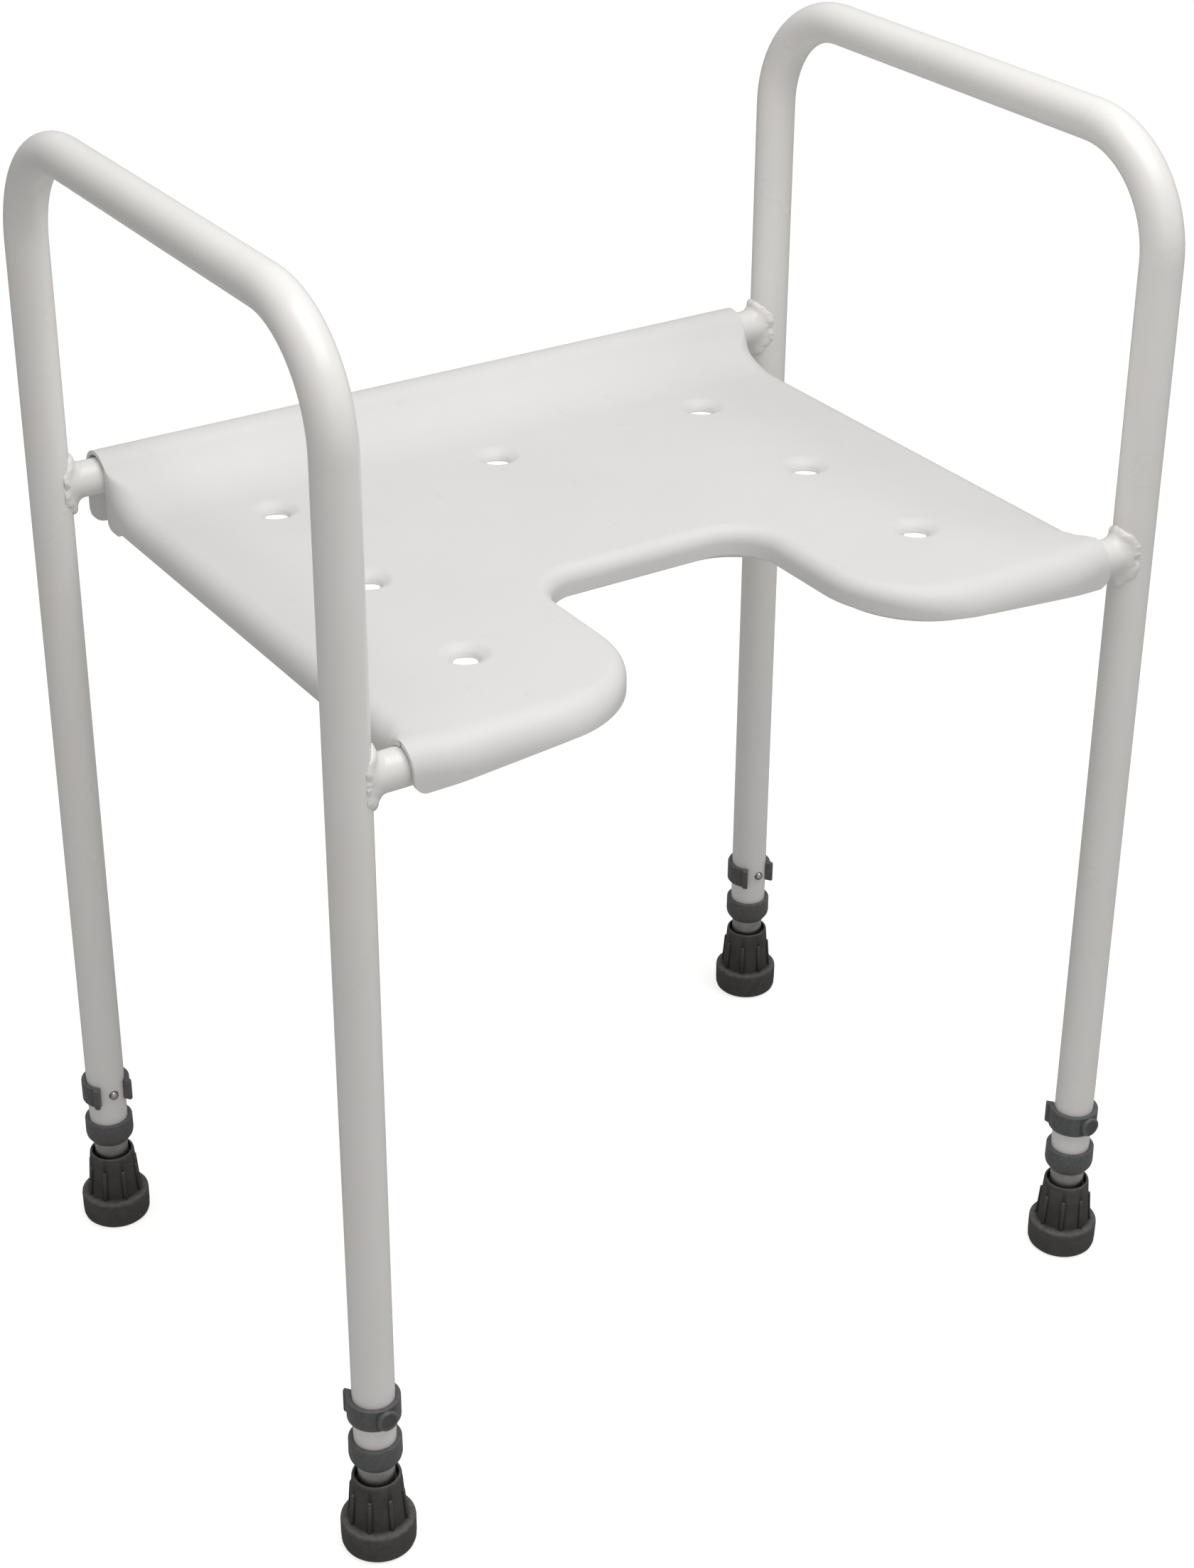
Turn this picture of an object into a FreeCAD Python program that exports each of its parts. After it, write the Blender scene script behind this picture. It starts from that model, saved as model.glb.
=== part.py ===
import FreeCAD, Part
import math
import os

# Shower stool: two bent-tube side frames joined by two welded cross tubes, a moulded
# horseshoe seat dropped over the cross tubes, and four telescopic feet held by pin clips.
# Millimetres, +Z up, +Y to the back. The origin is on the floor under the middle.

V = FreeCAD.Vector
X, Y, Z = V(1, 0, 0), V(0, 1, 0), V(0, 0, 1)

# ---- side frames -------------------------------------------------------------
leg_span_x = 531.0        # between the leg axes, left to right
leg_span_y = 374.0        # between the leg axes, front to back
leg_r = 12.7
leg_wall = 1.5
arm_z = 764.0             # axis of the straight arm
bend_r = 67.0             # centreline radius of the two top bends
leg_bottom_z = 66.0

# ---- cross tubes and their welds ---------------------------------------------
cross_r = 11.1
cross_wall = 1.5
rear_tube_z = 544.0
front_tube_z = 518.5
weld_leg = 4.2            # how far the bead reaches along the cross tube and up the leg
weld_sunk = 2.0           # the bead's root lies this far inside the leg's outline
weld_toe = 0.6            # how thick the bead still is at its edge on the cross tube
weld_drip = 2.0           # the heavier lower side hangs this far under the cross tube

# ---- seat moulding -----------------------------------------------------------
seat_half_x = 235.0
seat_front_y = -205.0
seat_wall = 2.5
plate_z = 533.0           # top of the flat sitting surface
rim_z = 516.0             # lower edge of the side skirts and of the cut-out's wall
jaw_z = 508.0             # lower edge where the moulding grips a cross tube
jaw_width = 38.0
edge_r = 13.0             # rounding between the flat top and every skirt
corner_r = 14.0           # plan radius of the outer front corners
roll_r = 15.5             # roll that wraps each cross tube
sweep_r = 60.0            # hollow sweep from the flat up to the roll
slab_back_y = 165.0
cut_half_x = 75.0         # horseshoe cut-out
cut_back_y = -58.0
cut_corner_r = 28.0
lobe_r = 70.0
slot_r = 13.0             # opening in the skirt that a cross tube passes through
front_roll_length = 30.0  # the front roll stands proud only at the seat's two ends
jaw_reach = 10.0          # the deeper jaws end this far past the slot for a cross tube

# ---- drain holes -------------------------------------------------------------
drain_x = 155.0
drain_rows = (107.0, -8.0, -118.0)
dish_r = 14.5
drain_r = 6.5
dish_depth = 3.2
dish_lip = 2.5            # soft edge of the dish, before its steep side
dish_floor = 1.5          # flat ring round the hole

# ---- telescopic feet ---------------------------------------------------------
tube_fit = 0.1
ext_r = leg_r - leg_wall - tube_fit
ext_wall = 1.5
hole_pitch = 25.4
hole_count = 7
pin_z = 104.5
pin_r = 3.2
pin_fit = 0.08
ext_above = 20.0          # inner tube left above its top hole
ext_top_z = pin_z + hole_pitch * (hole_count - 1) + ext_above

collar_r = 16.0
collar_low_z, collar_high_z = 63.0, 81.0
collar_round = 3.2

clip_gap = 0.1
clip_r = 16.0
clip_low_z, clip_high_z = 97.0, 112.0
clip_open_deg = 38.0      # half angle of the gap between the two ends
clip_tab_r = 18.5
clip_tab_deg = 13.0
boss_r = 6.6
boss_reach = 18.3
pin_head_in = 1.3         # the pin's head stops this far inside the boss
pin_reach = 15.9

foot_r = 22.6
flange_z = 20.5
body_low_r, body_top_r = 17.2, 14.8
foot_top_z = 53.0
socket_floor_z = 8.0
washer_t = 2.0
mouth_r = 13.1
mouth_depth = 5.5
rib_count = 8
rib_width = 3.6
rib_proud = 1.3
rib_top_z = 44.0
tread_depth = 1.2         # two tread grooves in the underside
tread_edges = (5.0, 10.0, 12.5)

spare = 20.0              # how far a cutting tool runs past what it cuts

corners = {
    "front_left": (-1, -1),
    "front_right": (1, -1),
    "rear_left": (-1, 1),
    "rear_right": (1, 1),
}


def save(name, shape):
    """Write one sub-part, checked to be sound, to its STEP file."""
    if not shape.isValid() or shape.Volume <= 0:
        raise RuntimeError("bad solid in " + name)
    print("%-28s solids %d  volume %.0f" % (name, len(shape.Solids), shape.Volume))
    shape.exportStep("parts/%s.step" % name)


def rod(r, start, end):
    """A solid round bar between two points."""
    run = end.sub(start)
    return Part.makeCylinder(r, run.Length, start, run)


def pipe(r, wall, start, end):
    """A round tube between two points."""
    return rod(r, start, end).cut(rod(r - wall, start, end))


def turned(points, centre):
    """Turn a closed (radius, height) outline round a vertical axis at centre."""
    wire = Part.makePolygon([V(centre.x + r, centre.y, z) for r, z in points + points[:1]])
    return Part.Face(wire).revolve(centre, Z, 360)


def one_solid(shape):
    shape = shape.removeSplitter()
    return shape.Solids[0] if len(shape.Solids) == 1 else shape


def arc_edge(centre, r, from_deg, to_deg, flat=True):
    """An arc given by its centre and angles, in the plan (flat) or in a Y-Z section."""
    def at(deg):
        a = math.radians(deg)
        if flat:
            return V(centre[0] + r * math.cos(a), centre[1] + r * math.sin(a), 0)
        return V(0, centre[0] + r * math.cos(a), centre[1] + r * math.sin(a))
    return Part.Arc(at(from_deg), at((from_deg + to_deg) / 2), at(to_deg)).toShape()


def joined(edges):
    """Close a chain of arcs with straight lines between them and make a face."""
    chain = []
    for i, edge in enumerate(edges):
        chain.append(edge)
        start = edge.valueAt(edge.LastParameter)
        following = edges[(i + 1) % len(edges)]
        end = following.valueAt(following.FirstParameter)
        if start.distanceToPoint(end) > 1e-6:
            chain.append(Part.makeLine(start, end))
    return Part.Face(Part.Wire(chain))


def leg_axis(side, end):
    return side * leg_span_x / 2, end * leg_span_y / 2


# ---- frame -------------------------------------------------------------------

def side_frame(side):
    """Inverted U: two legs, two quarter bends and the arm, with pin holes through each leg."""
    x = side * leg_span_x / 2
    top = arm_z - bend_r
    solid_frame, bore = [], []
    for r, group in ((leg_r, solid_frame), (leg_r - leg_wall, bore)):
        for end in (-1, 1):
            y = end * leg_span_y / 2
            group.append(rod(r, V(x, y, leg_bottom_z), V(x, y, top)))
            section = Part.Face(Part.Wire(Part.makeCircle(r, V(x, y, top), Z)))
            group.append(section.revolve(V(x, y - end * bend_r, top), X, end * 90))
        reach = leg_span_y / 2 - bend_r
        group.append(rod(r, V(x, -reach, arm_z), V(x, reach, arm_z)))
    outer = solid_frame[0].multiFuse(solid_frame[1:])
    inner = bore[0].multiFuse(bore[1:])
    frame = outer.cut(inner)
    for end in (-1, 1):
        y = end * leg_span_y / 2
        hole = rod(pin_r + pin_fit, V(x, y - spare, pin_z), V(x, y + spare, pin_z))
        frame = frame.cut(hole)
    return one_solid(frame)


def legs_block(end):
    """The two legs of one end as solid bars, used to trim what is welded to them."""
    bars = []
    for side in (-1, 1):
        x, y = leg_axis(side, end)
        bars.append(rod(leg_r, V(x, y, 400), V(x, y, 650)))
    return bars[0].fuse(bars[1])


def rear_cross_tube():
    half = leg_span_x / 2
    y = leg_span_y / 2
    tube = pipe(cross_r, cross_wall, V(-half, y, rear_tube_z), V(half, y, rear_tube_z))
    middle = Part.makeBox(2 * half - 2, 80, 80, V(-half + 1, y - 40, rear_tube_z - 40))
    return one_solid(tube.common(middle).cut(legs_block(1)).Solids[0])


def front_tube_path():
    """Centreline of the front tube: straight from each leg, then round the cut-out."""
    y = -leg_span_y / 2
    inset = seat_front_y - y
    lobe = lobe_r + inset
    run_x = cut_half_x - inset
    lobe_x, lobe_y = cut_half_x + lobe_r, seat_front_y + lobe_r
    back_r = cut_corner_r - inset
    back_x, back_y = cut_half_x - cut_corner_r, cut_back_y - cut_corner_r
    half = leg_span_x / 2
    left = [
        Part.makeLine(V(-half, y, 0), V(-lobe_x, y, 0)),
        arc_edge((-lobe_x, lobe_y), lobe, 270, 360),
        Part.makeLine(V(-run_x, lobe_y, 0), V(-run_x, back_y, 0)),
        arc_edge((-back_x, back_y), back_r, 180, 90),
    ]
    bridge = [Part.makeLine(V(-back_x, back_y + back_r, 0), V(back_x, back_y + back_r, 0))]
    right = [
        arc_edge((back_x, back_y), back_r, 90, 0),
        Part.makeLine(V(run_x, back_y, 0), V(run_x, lobe_y, 0)),
        arc_edge((lobe_x, lobe_y), lobe, 180, 270),
        Part.makeLine(V(lobe_x, y, 0), V(half, y, 0)),
    ]
    path = Part.Wire(left + bridge + right)
    path.translate(V(0, 0, front_tube_z))
    return path


def front_cross_tube():
    path = front_tube_path()
    start = V(-leg_span_x / 2, -leg_span_y / 2, front_tube_z)
    shells = []
    for r in (cross_r, cross_r - cross_wall):
        ring = Part.Wire(Part.makeCircle(r, start, X))
        shells.append(path.makePipeShell([ring], True, False))
    tube = shells[0].cut(shells[1])
    half = leg_span_x / 2
    middle = Part.makeBox(2 * half - 2, 260, 80, V(-half + 1, -240, front_tube_z - 40))
    return one_solid(tube.common(middle).cut(legs_block(-1)).Solids[0])


def weld_bead(side, end, z):
    """Fillet bead round the joint of one cross tube and one leg, lower at its underside."""
    x, y = leg_axis(side, end)
    face_x = x - side * leg_r
    toe_x = face_x - side * weld_leg
    root_x = face_x + side * weld_sunk * 3
    cone = Part.makeCone(cross_r + weld_leg + weld_sunk, cross_r + weld_toe,
                         abs(toe_x - root_x), V(root_x, y, z), V(-side, 0, 0))
    drip = Part.makeSphere(weld_leg, V(face_x - side, y, z - cross_r - weld_drip))
    bead = cone.fuse(drip)
    bead = bead.cut(rod(leg_r, V(x, y, z - 2 * spare), V(x, y, z + 2 * spare)))
    bead = bead.cut(rod(cross_r, V(face_x - side * spare, y, z), V(face_x + side * spare, y, z)))
    inner_x = min(face_x, face_x - side * spare)
    bead = bead.common(Part.makeBox(spare, 2 * spare, 3 * spare,
                                    V(inner_x, y - spare, z - 1.5 * spare)))
    return one_solid(max(bead.Solids, key=lambda s: s.Volume))


# ---- seat --------------------------------------------------------------------

def seat_plan(inset):
    """Plan outline of the flat part of the seat, horseshoe cut-out open to the front."""
    half = seat_half_x - inset
    front = seat_front_y + inset
    cut = cut_half_x + inset
    back = cut_back_y + inset
    r_out = corner_r - inset
    r_lobe = lobe_r - inset
    r_cut = cut_corner_r + inset
    edges = [
        arc_edge((-half + r_out, front + r_out), r_out, 180, 270),
        arc_edge((-cut - r_lobe, front + r_lobe), r_lobe, 270, 360),
        arc_edge((-cut + r_cut, back - r_cut), r_cut, 180, 90),
        arc_edge((cut - r_cut, back - r_cut), r_cut, 90, 0),
        arc_edge((cut + r_lobe, front + r_lobe), r_lobe, 180, 270),
        arc_edge((half - r_out, front + r_out), r_out, 270, 360),
        Part.makeLine(V(half, slab_back_y, 0), V(-half, slab_back_y, 0)),
    ]
    return joined(edges)


def roll_section(inset, low):
    """Y-Z section of the hollow sweep, the rear roll and the rear lip."""
    y0, z0 = leg_span_y / 2, rear_tube_z
    r = roll_r - inset
    hollow = sweep_r + inset
    flat = plate_z - inset
    rise = z0 - flat
    foot_y = y0 - math.sqrt((hollow + r) ** 2 - (hollow - rise) ** 2)
    lean = math.degrees(math.atan2(flat + hollow - z0, foot_y - y0))
    edges = [
        Part.makeLine(V(0, slab_back_y - 45, low), V(0, slab_back_y - 45, flat)),
        arc_edge((foot_y, flat + hollow), hollow, 270, lean + 180, flat=False),
        arc_edge((y0, z0), r, lean, 0, flat=False),
    ]
    edges.append(Part.makeLine(V(0, y0 + r, z0 - 1), V(0, y0 + r, low)))
    return joined(edges)


def seat_form(inset, low):
    """The moulding's outside (inset 0) or inside (inset = wall), as a solid down to low."""
    slab = seat_plan(inset)
    slab.translate(V(0, 0, low))
    flat = plate_z - inset
    slab = slab.extrude(V(0, 0, flat - low))
    rounded = []
    for edge in slab.Edges:
        box = edge.BoundBox
        if box.ZMin > flat - 0.01 and box.YMin < slab_back_y - 0.01:
            rounded.append(edge)
    slab = slab.makeFillet(edge_r - inset, rounded)
    half = seat_half_x - inset
    roll = roll_section(inset, low)
    roll.translate(V(-half, 0, 0))
    roll = roll.extrude(V(2 * half, 0, 0))
    return slab.fuse(roll).removeSplitter()


def saddle(r, end, z, low, start_x, stop_x):
    """Bar over a cross tube from one X to another: round on top, straight sides to low."""
    y = end * leg_span_y / 2
    length = stop_x - start_x
    bar = rod(r, V(start_x, y, z), V(stop_x, y, z))
    bar = bar.common(Part.makeBox(length, 2 * r, r, V(start_x, y - r, z)))
    return bar.fuse(Part.makeBox(length, 2 * r, z - low, V(start_x, y - r, low)))


def drain_centres():
    spots = [V(0, drain_rows[0], plate_z)]
    for y in drain_rows:
        for side in (-1, 1):
            spots.append(V(side * drain_x, y, plate_z))
    return spots


def seat():
    low = jaw_z
    shell = seat_form(0, low).cut(seat_form(seat_wall, low - 1))
    # the skirts end at the rim, and only the jaws beside the cross tubes reach lower
    front_y = -leg_span_y / 2
    trim = Part.makeBox(2 * seat_half_x - 2 * jaw_width, 400, rim_z - low,
                        V(-seat_half_x + jaw_width, seat_front_y - 1, low))
    sides = Part.makeBox(2 * seat_half_x + 2, 300, rim_z - low,
                         V(-seat_half_x - 1, front_y + slot_r + jaw_reach, low))
    trim = trim.cut(Part.makeBox(700, 100, 100, V(-350, slab_back_y, 450)))
    rear_jaw_y = leg_span_y / 2 - slot_r - jaw_reach
    sides = sides.cut(Part.makeBox(700, 100, 100, V(-350, rear_jaw_y, 450)))
    shell = shell.cut(trim).cut(sides)
    for side in (-1, 1):
        start_x, stop_x = sorted((side * seat_half_x, side * (seat_half_x - front_roll_length)))
        shell = shell.fuse(saddle(roll_r, -1, front_tube_z, low, start_x, stop_x))
        for end, z in ((1, rear_tube_z), (-1, front_tube_z)):
            shell = shell.cut(saddle(slot_r, end, z, low - 1, start_x - spare, stop_x + spare))
    t = seat_wall
    cup = [(0, plate_z - t), (dish_r + 2, plate_z - t), (drain_r + 3, plate_z - dish_depth - t),
           (0, plate_z - dish_depth - t)]
    dish = [(0, plate_z + 1), (dish_r, plate_z + 1), (dish_r, plate_z),
            (dish_r - dish_lip, plate_z - 0.5),
            (drain_r + dish_floor, plate_z - dish_depth + 0.4),
            (drain_r, plate_z - dish_depth), (drain_r, plate_z - spare), (0, plate_z - spare)]
    for spot in drain_centres():
        shell = shell.fuse(turned(cup, V(spot.x, spot.y, 0)))
    for spot in drain_centres():
        shell = shell.cut(turned(dish, V(spot.x, spot.y, 0)))
    return one_solid(shell)


# ---- telescopic foot ---------------------------------------------------------

def leg_extension(x, y):
    """Inner tube with a row of cross holes for the clip pin."""
    low = socket_floor_z + washer_t
    tube = pipe(ext_r, ext_wall, V(x, y, low), V(x, y, ext_top_z))
    for i in range(hole_count):
        z = pin_z + i * hole_pitch
        tube = tube.cut(rod(pin_r + pin_fit, V(x, y - spare, z), V(x, y + spare, z)))
    return one_solid(tube)


def leg_collar(x, y):
    """Plastic collar on the leg's end, which guides the inner tube."""
    guide_r = leg_r - leg_wall
    k = collar_round
    outline = [
        (guide_r, collar_low_z), (collar_r - k, collar_low_z),
        (collar_r - 0.35 * k, collar_low_z + 0.35 * k), (collar_r, collar_low_z + k),
        (collar_r, collar_high_z - 0.6), (collar_r - 0.6, collar_high_z),
        (leg_r, collar_high_z), (leg_r, leg_bottom_z), (guide_r, leg_bottom_z),
    ]
    return turned(outline, V(x, y, 0))


def ring_sector(x, y, r_in, r_out, low, high, mid_deg, half_deg):
    """Part of a ring, centred on the direction mid_deg."""
    a, b = mid_deg - half_deg, mid_deg + half_deg
    face = joined([arc_edge((x, y), r_in, b, a), arc_edge((x, y), r_out, a, b)])
    face.translate(V(0, 0, low))
    return face.extrude(V(0, 0, high - low))


def height_clip(x, y, end):
    """Open plastic ring with thick ends and a round boss that holds the cross pin."""
    facing = 90 * end
    r_in = leg_r + clip_gap
    wrap = 180 - clip_open_deg
    clip = ring_sector(x, y, r_in, clip_r, clip_low_z, clip_high_z, facing, wrap)
    for side in (-1, 1):
        mid = facing + side * (wrap - clip_tab_deg / 2)
        clip = clip.fuse(ring_sector(x, y, r_in, clip_tab_r, clip_low_z, clip_high_z,
                                     mid, clip_tab_deg / 2))
    outward = V(0, end, 0)
    boss = rod(boss_r, V(x, y, pin_z), V(x, y, pin_z).add(outward * boss_reach))
    boss = boss.cut(rod(r_in, V(x, y, clip_low_z), V(x, y, clip_high_z)))
    clip = clip.fuse(boss)
    return one_solid(clip.cut(clip_pin(x, y, end)))


def clip_pin(x, y, end):
    """Steel cross pin with a rounded tip."""
    head = boss_reach - pin_head_in
    start = V(x, y + end * head, pin_z)
    tip = V(x, y - end * (pin_reach - pin_r), pin_z)
    pin = rod(pin_r, start, tip).fuse(Part.makeSphere(pin_r, tip))
    return one_solid(pin)


def ferrule(x, y):
    """Rubber foot: ribbed tapered body on a wide flange, with a socket for the tube."""
    centre = V(x, y, 0)
    inner, middle, outer = tread_edges
    outline = [
        (0, tread_depth), (inner, tread_depth), (inner, 0), (middle, 0),
        (middle, tread_depth), (outer, tread_depth), (outer, 0),
        (foot_r - 3.2, 0), (foot_r - 1.2, 0.8), (foot_r - 0.2, 3.2),
        (foot_r, flange_z - 2.0), (foot_r - 0.8, flange_z - 0.6),
        (body_low_r + 0.6, flange_z + 1.2), (body_low_r, flange_z + 2.4),
        (body_top_r, foot_top_z - 0.8), (body_top_r - 0.7, foot_top_z),
        (mouth_r, foot_top_z), (mouth_r, foot_top_z - mouth_depth),
        (ext_r, foot_top_z - mouth_depth), (ext_r, socket_floor_z), (0, socket_floor_z),
    ]
    foot = turned(outline, centre)
    slope = math.degrees(math.atan2(body_low_r - body_top_r, foot_top_z - flange_z))
    for i in range(rib_count):
        rib = Part.makeBox(4, rib_width, rib_top_z - flange_z,
                           V(body_low_r + rib_proud - 4, -rib_width / 2, flange_z))
        rib.rotate(V(body_low_r + rib_proud, 0, flange_z), Y, -slope)
        rib.rotate(V(0, 0, 0), Z, 360.0 * i / rib_count)
        rib.translate(centre)
        foot = foot.fuse(rib)
    return one_solid(foot)


def ferrule_washer(x, y):
    """Steel disc in the foot, which the tube stands on."""
    return rod(ext_r, V(x, y, socket_floor_z), V(x, y, socket_floor_z + washer_t))


def main():
    os.makedirs("parts", exist_ok=True)
    save("side_frame_left", side_frame(-1))
    save("side_frame_right", side_frame(1))
    save("rear_cross_tube", rear_cross_tube())
    save("front_cross_tube", front_cross_tube())
    save("seat", seat())
    for name, (side, end) in corners.items():
        x, y = leg_axis(side, end)
        save("weld_" + name, weld_bead(side, end, rear_tube_z if end > 0 else front_tube_z))
        save("leg_extension_" + name, leg_extension(x, y))
        save("leg_collar_" + name, leg_collar(x, y))
        save("height_clip_" + name, height_clip(x, y, end))
        save("clip_pin_" + name, clip_pin(x, y, end))
        save("ferrule_" + name, ferrule(x, y))
        save("ferrule_washer_" + name, ferrule_washer(x, y))


main()
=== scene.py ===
import bmesh
import bpy
import math
from mathutils import Matrix, Vector, noise


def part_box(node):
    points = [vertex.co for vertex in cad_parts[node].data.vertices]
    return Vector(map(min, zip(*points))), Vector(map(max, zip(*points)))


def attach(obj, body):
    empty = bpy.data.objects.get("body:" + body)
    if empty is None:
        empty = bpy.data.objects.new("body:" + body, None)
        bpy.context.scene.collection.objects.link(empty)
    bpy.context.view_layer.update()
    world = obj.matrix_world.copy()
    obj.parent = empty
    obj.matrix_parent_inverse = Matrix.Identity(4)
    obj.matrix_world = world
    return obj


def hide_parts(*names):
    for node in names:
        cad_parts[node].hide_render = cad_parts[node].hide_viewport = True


# Shower stool: the smooth, finished pieces over the fixed frame. Shapes are worked out in
# millimetres, and a piece is brought to metres when it is finished.

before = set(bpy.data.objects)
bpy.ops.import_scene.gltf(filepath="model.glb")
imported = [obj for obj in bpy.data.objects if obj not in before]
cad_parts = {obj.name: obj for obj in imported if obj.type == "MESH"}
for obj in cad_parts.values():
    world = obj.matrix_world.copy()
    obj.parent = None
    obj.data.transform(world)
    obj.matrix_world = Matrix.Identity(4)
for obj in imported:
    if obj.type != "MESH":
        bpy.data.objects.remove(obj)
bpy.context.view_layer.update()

MM = 0.001
X, Y, Z = Vector((1, 0, 0)), Vector((0, 1, 0)), Vector((0, 0, 1))
CORNERS = {
    "front_left": (-1, -1),
    "front_right": (1, -1),
    "rear_left": (-1, 1),
    "rear_right": (1, 1),
}

# tubes
LEG_R, LEG_WALL = 12.7, 1.5
BEND_R = 67.0
CROSS_R, CROSS_WALL = 11.1, 1.5
EXT_R, EXT_WALL = 11.1, 1.5
PIN_R, PIN_HOLE_R = 3.2, 3.28
HOLE_PITCH, HOLE_COUNT = 25.4, 7
HOLE_MARGIN = 8.0          # a tube has a ring of edges this far before and after each hole
DRILL_REACH = 20.0         # half the length of the bar that drills a hole
COPE_START = 2.0           # a cross tube is begun this far inside the leg's axis
COPE_GAP = 0.4             # and ends this much deeper than the leg's surface
COPE_BAR_Z = (450, 620)
BAR_TURN = 0.023           # keeps a bar's facets off those of the tube that it cuts
ROUND = 96                 # facets round a tube
BEND_STEPS, CROSS_BEND_STEPS = 20, 18

# seat moulding: heights of the flat top and of the lower rims
WALL = 2.5
PLATE_Z = 533.0
RIM_Z = 516.3
FRONT_LIP_Z = 515.3
REAR_LIP_Z, REAR_LIP_END_Z = 516.0, 507.0
# seat moulding: roundings
SIDE_EDGE_R = 13.0
FRONT_EDGE_R = 17.5
CUT_EDGE_R = 9.5
ROLL_R = 15.5
SWEEP_R = 60.0
SLOT_R = 13.0
LIP_CORNER_R, WALL_CORNER_R, REAR_CORNER_R = 8.0, 7.0, 9.4
# seat moulding: the cut-out and the drains
CUT_X, CUT_BACK_Y, CUT_CORNER_R = 75.0, -58.0, 28.0
LOBE_R = 70.0
DISH_R, DISH_BORDER = 14.5, 1.5
DRAIN_X, DRAIN_ROWS = 155.0, (107.0, -8.0, -118.0)


def box_mm(node):
    """Lowest and highest corner of a node of the frame, in millimetres."""
    low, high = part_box(node)
    return low / MM, high / MM


def leg_spot(corner):
    """Where one leg's axis meets the floor."""
    low, high = box_mm("leg_extension_" + corner)
    return Vector(((low.x + high.x) / 2, (low.y + high.y) / 2, 0))


def pin_height(corner):
    """Height of the axis of a leg's pin."""
    return box_mm("clip_pin_" + corner)[0].z + PIN_R


def ease(t):
    """Smooth step from 0 to 1."""
    t = min(max(t, 0.0), 1.0)
    return t * t * (3 - 2 * t)


# ---- mesh helpers --------------------------------------------------------------

def once_each(items):
    """The same items without repeats, in the order in which they first come."""
    return list(dict.fromkeys(items))


def edges_among(verts):
    """The edges that join these vertices to each other."""
    chosen = set(verts)
    return once_each(e for v in verts for e in v.link_edges if e.other_vert(v) in chosen)


def ring(bm, radius, centre, facing, count=ROUND):
    """An open ring of edges that faces along a direction."""
    turn = Z.rotation_difference(facing).to_matrix().to_4x4()
    made = bmesh.ops.create_circle(bm, cap_ends=False, segments=count, radius=radius,
                                   matrix=Matrix.Translation(centre) @ turn)
    return edges_among(made["verts"])


def go(bm, edges, shift):
    """Draw a ring or chain of edges straight on, and return its new edges."""
    made = bmesh.ops.extrude_edge_only(bm, edges=edges)["geom"]
    verts = [g for g in made if isinstance(g, bmesh.types.BMVert)]
    bmesh.ops.translate(bm, vec=shift, verts=verts)
    return edges_among(verts)


def bend(bm, edges, centre, axis, degrees, steps):
    """Draw a ring or chain of edges round an axis, and return its new edges."""
    verts = once_each(v for e in edges for v in e.verts)
    made = bmesh.ops.spin(bm, geom=verts + edges, cent=centre, axis=axis,
                          angle=math.radians(degrees), steps=steps, use_duplicate=False)
    last = made["geom_last"]
    return [g for g in last if isinstance(g, bmesh.types.BMEdge)]


def step_in(bm, edges, share):
    """Draw a flat ring of edges in towards its own centre, and return its new edges."""
    made = bmesh.ops.extrude_edge_only(bm, edges=edges)["geom"]
    verts = [g for g in made if isinstance(g, bmesh.types.BMVert)]
    middle = sum((v.co for v in verts), Vector()) / len(verts)
    bmesh.ops.scale(bm, vec=(share, share, share), verts=verts,
                    space=Matrix.Translation(-middle))
    return edges_among(verts)


def pipe(radii, start, facing, moves):
    """A hollow tube: the outside and the bore follow the same moves, with flat cut ends."""
    bm = bmesh.new()
    share = radii[1] / radii[0]
    outer = ring(bm, radii[0], start, facing)
    bore = step_in(bm, outer, share)
    for step in moves:
        if isinstance(step, Vector):
            outer, bore = go(bm, outer, step), go(bm, bore, step)
        else:
            outer, bore = bend(bm, outer, *step), bend(bm, bore, *step)
    step_in(bm, outer, share)
    bmesh.ops.remove_doubles(bm, verts=bm.verts, dist=1e-3)
    bmesh.ops.recalc_face_normals(bm, faces=bm.faces)
    return bm


def rod(radius, start, end, count=48):
    """A closed round bar between two points."""
    bm = bmesh.new()
    run = end - start
    turn = Z.rotation_difference(run).to_matrix().to_4x4() @ Matrix.Rotation(BAR_TURN, 4, "Z")
    place = Matrix.Translation((start + end) / 2) @ turn
    bmesh.ops.create_cone(bm, cap_ends=True, segments=count, radius1=radius, radius2=radius,
                          depth=run.length, matrix=place)
    return bm


def drill(spot, height, count=48):
    """The bar that drills a pin's hole across a leg."""
    centre = Vector((spot.x, spot.y, height))
    return rod(PIN_HOLE_R, centre - Y * DRILL_REACH, centre + Y * DRILL_REACH, count)


def lathe(outline, steps=ROUND, closed=False):
    """Turn (radius, height) points round the Z axis. An outline on the axis makes a pole."""
    bm = bmesh.new()
    verts = [bm.verts.new((r, 0, z)) for r, z in outline]
    pairs = list(zip(verts, verts[1:]))
    if closed:
        pairs.append((verts[-1], verts[0]))
    edges = [bm.edges.new(pair) for pair in pairs]
    bmesh.ops.spin(bm, geom=verts + edges, cent=(0, 0, 0), axis=Z, angle=math.tau,
                   steps=steps, use_merge=True, use_duplicate=False)
    bmesh.ops.remove_doubles(bm, verts=bm.verts, dist=1e-4)
    bmesh.ops.recalc_face_normals(bm, faces=bm.faces)
    return bm


def soften(bm, width, over_degrees=40, segments=3):
    """Round every edge that turns by more than some angle."""
    limit = math.radians(over_degrees)
    sharp = [e for e in bm.edges if len(e.link_faces) == 2 and e.calc_face_angle() > limit]
    bmesh.ops.bevel(bm, geom=sharp, offset=width, offset_type="OFFSET", segments=segments,
                    profile=0.5, affect="EDGES", material=-1, clamp_overlap=False)
    return bm


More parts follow.
